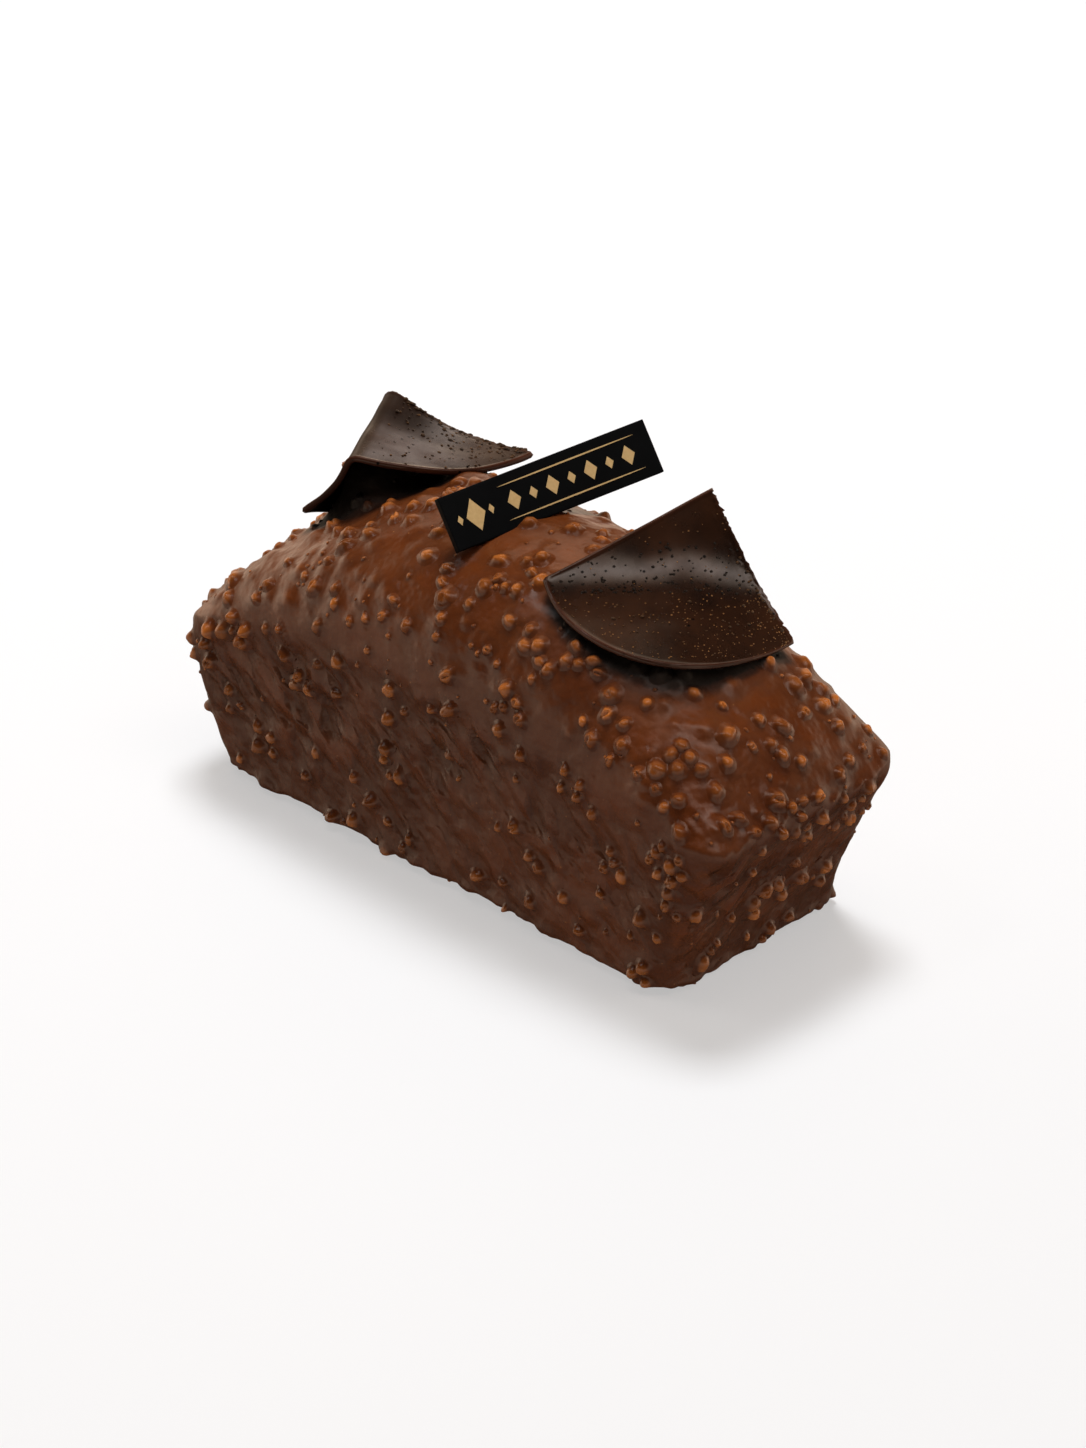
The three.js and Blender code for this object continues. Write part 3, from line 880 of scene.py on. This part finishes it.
def sprinkle(place, edges, stretch, count, seed, widths, spread, tints):
    """Grains on one shard; spread is how far they lie from its snapped edge, 0 to 1."""
    draw = random.Random(seed)
    found = []
    while len(found) < count:
        s = draw.uniform(*stretch)
        left, right = edges(s)
        share = draw.random() ** (1 / spread)
        if place is front_place:
            share = 1 - share
            if draw.random() > 0.1 + 0.9 * smooth(s, 24, 44):
                continue
        g = left + (right - left) * (0.02 + 0.95 * share)
        normal = sheet_normal(place, g, s)
        if normal.z < 0:
            normal = -normal
        found.append((place(g, s) + normal * SHARD_HALF, normal, draw.uniform(*widths),
                      draw.uniform(*tints)))
    return found


grain_ball = bmesh.new()
bmesh.ops.create_icosphere(grain_ball, subdivisions=1, radius=1)
ball = np.array([v.co for v in grain_ball.verts])
ball_faces = np.array([[v.index for v in f.verts] for f in grain_ball.faces])
grain_ball.free()
crumb_points, crumb_faces, crumb_tints = [], [], []
grains = []
for row in SPRINKLED_ON_FRONT:
    grains += sprinkle(front_place, front_edges, *row)
for row in SPRINKLED_ON_BACK:
    grains += sprinkle(back_place, back_edges, *row)
for place, outward, width, tint in grains:
    turn = np.array(outward.to_track_quat("Z", "Y").to_matrix())
    shape = 1 + 0.5 * wander(ball, 0.7, rng.uniform(0, 90))
    local = ball * shape[:, None] * [1, 0.8, 0.55] * width / 2
    crumb_points.append(np.array(place) + local @ turn.T)
    crumb_faces.append(ball_faces + len(ball) * len(crumb_faces))
    crumb_tints.append(np.full(len(ball), tint))
crumbs = mesh_object("nib_crumbs", np.vstack(crumb_points), np.vstack(crumb_faces).tolist(),
                     {"tint": np.hstack(crumb_tints)})
material, wire, shader = new_finish("cocoa_nib")
grain = wire.noise(0.0003, detail=2)
body = (wire.mark("tint") ** 1.5).mix(rgb(18, 10, 6), rgb(142, 98, 56))
feed(wire, shader, Base_Color=body, Roughness=0.45 + grain * 0.2,
     Normal=wire.bump(grain, 0.0001, 0.5))
crumbs.data.materials.append(material)
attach(crumbs, "root")


# Plaque -------------------------------------------------------------------------------------------
# A flat bar of black-coloured chocolate with slightly rounded edges, pressed into the soft glaze so
# that it leans back on the crown. Its face carries a plain gilt motif of lozenges and fine lines.
PLAQUE_LENGTH, PLAQUE_HEIGHT, PLAQUE_THICK, PLAQUE_ROUNDING = 75.5, 17.5, 2.6, 0.35
PLAQUE_CORNER = Vector((-6.4, -23.6, 107.8))
PLAQUE_ALONG = Vector((0.202, 0.977, 0.071)).normalized()
PLAQUE_FRONT = PLAQUE_ALONG.cross(Vector((-0.602, 0.064, 0.796))).normalized()
PLAQUE_UP = PLAQUE_FRONT.cross(PLAQUE_ALONG)


def on_plaque(along, up, out):
    return PLAQUE_CORNER + PLAQUE_ALONG * along + PLAQUE_UP * up + PLAQUE_FRONT * out


bar = bmesh.new()
steps_along, steps_up = 60, 14
lattice = {}
for side, out in ((0, 0.0), (1, -PLAQUE_THICK)):
    for i in range(steps_along + 1):
        for j in range(steps_up + 1):
            along, up = PLAQUE_LENGTH * i / steps_along, PLAQUE_HEIGHT * j / steps_up
            lattice[side, i, j] = bar.verts.new(on_plaque(along, up, out))
for i in range(steps_along):
    for j in range(steps_up):
        a, b, c, d = (i, j), (i + 1, j), (i + 1, j + 1), (i, j + 1)
        bar.faces.new([lattice[0, p, q] for p, q in (a, b, c, d)])
        bar.faces.new([lattice[1, p, q] for p, q in (d, c, b, a)])
rim = ([(i, 0) for i in range(steps_along)] + [(steps_along, j) for j in range(steps_up)]
       + [(i, steps_up) for i in range(steps_along, 0, -1)] + [(0, j) for j in range(steps_up, 0, -1)])
for k, here in enumerate(rim):
    after = rim[(k + 1) % len(rim)]
    bar.faces.new([lattice[0, *after], lattice[0, *here], lattice[1, *here], lattice[1, *after]])
bmesh.ops.recalc_face_normals(bar, faces=bar.faces[:])
sharp = [e for e in bar.edges if e.calc_face_angle(0) > 1]
bmesh.ops.bevel(bar, geom=sharp, offset=PLAQUE_ROUNDING, segments=3, affect="EDGES", profile=0.6)
bar.verts.index_update()
plaque = mesh_object("plaque_bar", [v.co for v in bar.verts],
                     [tuple(v.index for v in f.verts) for f in bar.faces])
bar.free()
material, wire, shader = new_finish("black_chocolate")
cloud = wire.noise(0.009, detail=4, roughness=0.6).clamped(0.35, 0.7)
body = cloud.mix(rgb(8, 10, 12), rgb(12, 14, 16))
grain = wire.noise(0.0005, detail=3, roughness=0.7)
relief = wire.bump(wire.noise(0.005), 0.0002, 0.3)
relief = wire.bump(grain, 0.00005, 0.4, relief)
feed(wire, shader, Base_Color=body, Roughness=0.36 + cloud * 0.08 + grain * 0.08, Normal=relief,
     Specular_IOR_Level=0.05)
plaque.data.materials.append(material)
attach(plaque, "root")
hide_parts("plaque")

# The gilt is a raised film 0.12 mm thick: a row of lozenges between two fine tapering lines.
GILT_RAISED = 0.12
gilt_points, gilt_faces = [], []


def gild(outline):
    """A raised patch of gilt with this outline, in millimetres along and up the plaque's face."""
    first, count = len(gilt_points), len(outline)
    for out in (-0.05, GILT_RAISED):
        gilt_points.extend(on_plaque(along, up, out) for along, up in outline)
    gilt_faces.append(tuple(range(first + count, first + 2 * count)))
    gilt_faces.append(tuple(reversed(range(first, first + count))))
    for k in range(count):
        after = (k + 1) % count
        gilt_faces.append((first + k, first + after, first + count + after, first + count + k))


def lozenge(along, up, long, tall):
    gild([(along - long, up), (along, up - tall), (along + long, up), (along, up + tall)])


middle = PLAQUE_HEIGHT / 2
lozenge(10, middle, 3.4, 5.2)
for offset in (-5.6, 5.6):
    lozenge(10 + offset, middle, 1.0, 1.6)
for k in range(7):
    lozenge(24 + 7 * k, middle, 1.5 if k % 2 else 2.4, 2.0 if k % 2 else 3.2)
line = np.linspace(20, 70, 26)
half = 0.22 * np.sin(np.pi * (line - 20) / 50) ** 0.5 + 0.03
for up in (middle - 5.4, middle + 5.4):
    gild([*zip(line, up - half), *zip(line[::-1], (up + half)[::-1])])
gilt = mesh_object("plaque_gilt", gilt_points, gilt_faces)
gilt.data.shade_flat()
material, wire, shader = new_finish("gilt")
grain = wire.noise(0.0005, detail=3)
body = grain.mix(rgb(208, 176, 118), rgb(234, 206, 150))
feed(wire, shader, Base_Color=body, Metallic=0.35, Roughness=0.34 + grain * 0.2,
     Normal=wire.bump(grain, 0.00004, 0.4))
gilt.data.materials.append(material)
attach(gilt, "root")


# Table, light and camera --------------------------------------------------------------------------
# A plain white table top, one wide soft light overhead, a small one for sparkle and a dim room. The
# camera looks down over the near end from the long side, through a long lens.
top = bmesh.new()
bmesh.ops.create_grid(top, x_segments=8, y_segments=8, size=3)
table_mesh = bpy.data.meshes.new("table_top")
top.to_mesh(table_mesh)
top.free()
table_top = bpy.data.objects.new("table_top", table_mesh)
table_top.location = (0, 0, -0.0002)
bpy.context.scene.collection.objects.link(table_top)
material, wire, shader = new_finish("white_table")
tone = wire.noise(0.3, detail=1).clamped(0.3, 0.7)
feed(wire, shader, Base_Color=tone.mix(rgb(166, 168, 171), rgb(169, 171, 174)), Roughness=0.6,
     Specular_IOR_Level=0.1, Emission_Color=(1, 1, 1, 1), Emission_Strength=0.47)
table_top.data.materials.append(material)
table_top.visible_glossy = False        # the glaze reflects the dim room, not the bare table


def soft_light(name, place, size, power, reflected):
    """A square lamp that faces the loaf; reflected is whether the chocolate mirrors it."""
    lamp = bpy.data.lights.new(name, "AREA")
    lamp.size, lamp.energy = size, power
    made = bpy.data.objects.new(name, lamp)
    made.location = place
    made.rotation_euler = (Vector((0, 0, 0.05)) - Vector(place)).to_track_quat("-Z", "Y").to_euler()
    made.visible_camera = False
    made.visible_glossy = reflected
    bpy.context.scene.collection.objects.link(made)


soft_light("overhead_light", (-0.52, 0.52, 2.05), 0.7, 49, False)
soft_light("sparkle_light", (-0.75, -0.75, 1.85), 0.35, 1.9, True)

# The room is dark but for what the chocolate mirrors: a long reflector overhead, low panels of
# several widths all round, a broad one above them at the back, a band at table height and a little
# light from the floor. All of it is warm, the reflector and one low spot at the back less so.
world = bpy.data.worlds.new("room")
world.use_nodes = True
wire = Wire(world.node_tree)
towards = wire.node("ShaderNodeTexCoord")


def along(x, y, z):
    """How nearly a direction is this one, from -1 to 1."""
    return wire.vector("DOT_PRODUCT", {0: towards, 1: Vector((x, y, z)).normalized()}, 1)


level = along(0, 0, 1)
reflector = 1 - wire.math("ABSOLUTE", along(-0.465, 0.854, 0.233) - 0.09).clamped(0.03, 0.2)
reflector = reflector * along(0.33, 0, 0.94).clamped(0.83, 0.92)
azimuth = wire.math("ARCTAN2", along(0, 1, 0), along(1, 0, 0)) * (0.5 / math.pi) + 0.5
brightness = [      # of the low panels, by how far round the room they stand, 0 to 1
    (0.0, 0.9), (0.08, 0.9), (0.11, 0.03), (0.62, 0.03), (0.65, 0.9), (0.765, 0.9), (0.785, 0.0),
    (0.83, 0.0), (0.845, 1.0), (0.856, 0.55), (0.867, 0.32), (0.91, 0.3), (0.93, 0.6)]
round_room = wire.node("ShaderNodeValToRGB", {"stops": [(at, (b, b, b)) for at, b in brightness]},
                       {"Fac": azimuth})
low_panels = round_room * (1 - level.clamped(0.28, 0.42)) * 1.35
panel = along(-0.59, 0.59, 0.54).clamped(0.89, 0.98) * level.clamped(0.34, 0.42)
horizon = 1 - wire.math("ABSOLUTE", level).clamped(0.06, 0.16)
floor = (level.clamped(-0.68, -0.32) * 0.5 + 0.05) * (1 - level.clamped(-0.02, 0.02))
above = level.clamped(-0.12, 0.0)
glow = reflector * 3.6 + (low_panels + panel) * above + horizon * 0.66 + floor + 0.02
paler = (reflector + along(-0.53, 0.82, 0.23).clamped(0.98, 0.995)).clamped()
tint = paler.mix((1, 0.76, 0.56, 1), (1, 0.84, 0.76, 1))
feed(wire, world.node_tree.nodes["Background"], Strength=glow, Color=tint)
bpy.context.scene.world = world
bpy.context.scene.view_settings.view_transform = "Standard"

AZIMUTH, ELEVATION = math.radians(44.67), math.radians(30.53)
DISTANCE, LENS = 1.875, 149.2
AIM = Vector((-0.0061, 0.0121, 0.0326))
back = Vector((math.sin(AZIMUTH) * math.cos(ELEVATION), -math.cos(AZIMUTH) * math.cos(ELEVATION),
               math.sin(ELEVATION)))
camera = bpy.data.objects.new("camera", bpy.data.cameras.new("camera"))
camera.data.lens = LENS
camera.location = AIM + back * DISTANCE
camera.rotation_euler = (-back).to_track_quat("-Z", "Y").to_euler()
bpy.context.scene.collection.objects.link(camera)
bpy.context.scene.camera = camera
